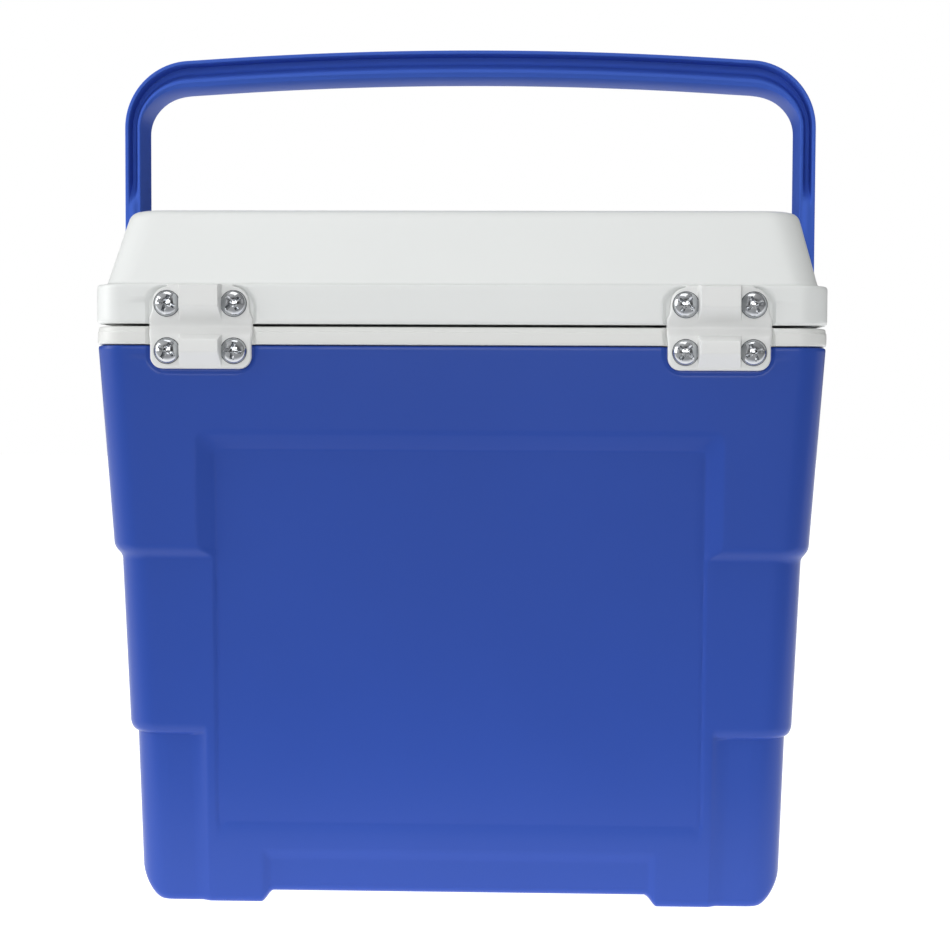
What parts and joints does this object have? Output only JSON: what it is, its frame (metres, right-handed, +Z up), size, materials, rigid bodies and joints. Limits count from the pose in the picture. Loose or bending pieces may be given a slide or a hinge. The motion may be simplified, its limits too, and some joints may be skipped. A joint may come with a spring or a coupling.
{
  "type": "cooler chest",
  "caption": "Hard-sided insulated cooler chest with a white hinged lid, a blue stepped body, screwed-on moulded hinges and a folding bail handle.",
  "frame": {"origin": "on the floor under the middle of the chest, the middle of its bounding box's bottom", "axes": "+Z up, front (thumb lip) -Y, rear (hinge side) +Y, +X to the right as seen from the front; handle upright and lid closed at rest"},
  "size_m": [0.3762, 0.2752, 0.4353],
  "materials": {
    "blue_shell": "satin moulded polyethylene, fine orange-peel grain",
    "blue_handle": "satin moulded polypropylene",
    "white_lid": "satin white moulded polyethylene",
    "white_rim": "satin white moulded polypropylene",
    "white_hinge": "satin white moulded polypropylene strap",
    "foam": "rigid closed-cell polyurethane foam, matt",
    "zinc_screw": "bright zinc-plated steel"
  },
  "bodies": {
    "chest": {"body_shell": "blue_shell", "insulation_foam": "foam", "inner_liner": "white_rim", "hinge_body_leaf_left": "white_hinge", "hinge_body_leaf_right": "white_hinge", "handle_socket_left": "white_rim", "handle_socket_right": "white_rim", "hinge_screw_left_lower_outer": "zinc_screw", "hinge_screw_left_lower_inner": "zinc_screw", "hinge_screw_right_lower_outer": "zinc_screw", "hinge_screw_right_lower_inner": "zinc_screw"},
    "lid": {"lid_shell": "white_lid", "lid_insulation": "foam", "lid_inner_panel": "white_rim", "hinge_lid_leaf_left": "white_hinge", "hinge_lid_leaf_right": "white_hinge", "hinge_screw_left_upper_outer": "zinc_screw", "hinge_screw_left_upper_inner": "zinc_screw", "hinge_screw_right_upper_outer": "zinc_screw", "hinge_screw_right_upper_inner": "zinc_screw"},
    "pivot_pins": {"handle_pin_left": "blue_handle", "handle_pin_right": "blue_handle"},
    "bail": {"handle": "blue_handle"}
  },
  "joints": [
    {"name": "lid_hinge", "type": "hinge", "parent": "chest", "child": "lid", "pos_m": [0, 0.1319, 0.2837], "axis": [-1, 0, 0], "range_deg": [0, 95]},
    {"name": "handle_swing", "type": "hinge", "parent": "chest", "child": "pivot_pins", "pos_m": [0, 0, 0.222], "axis": [1, 0, 0], "range_deg": [0, 138]},
    {"name": "handle_pushed_back", "type": "hinge", "parent": "pivot_pins", "child": "bail", "pos_m": [0, 0, 0.222], "axis": [-1, 0, 0], "range_deg": [0, 138]}
  ],
  "couplings": [
    {"joint": "handle_pushed_back", "follows": "lid_hinge", "ratio": 1.45}
  ]
}
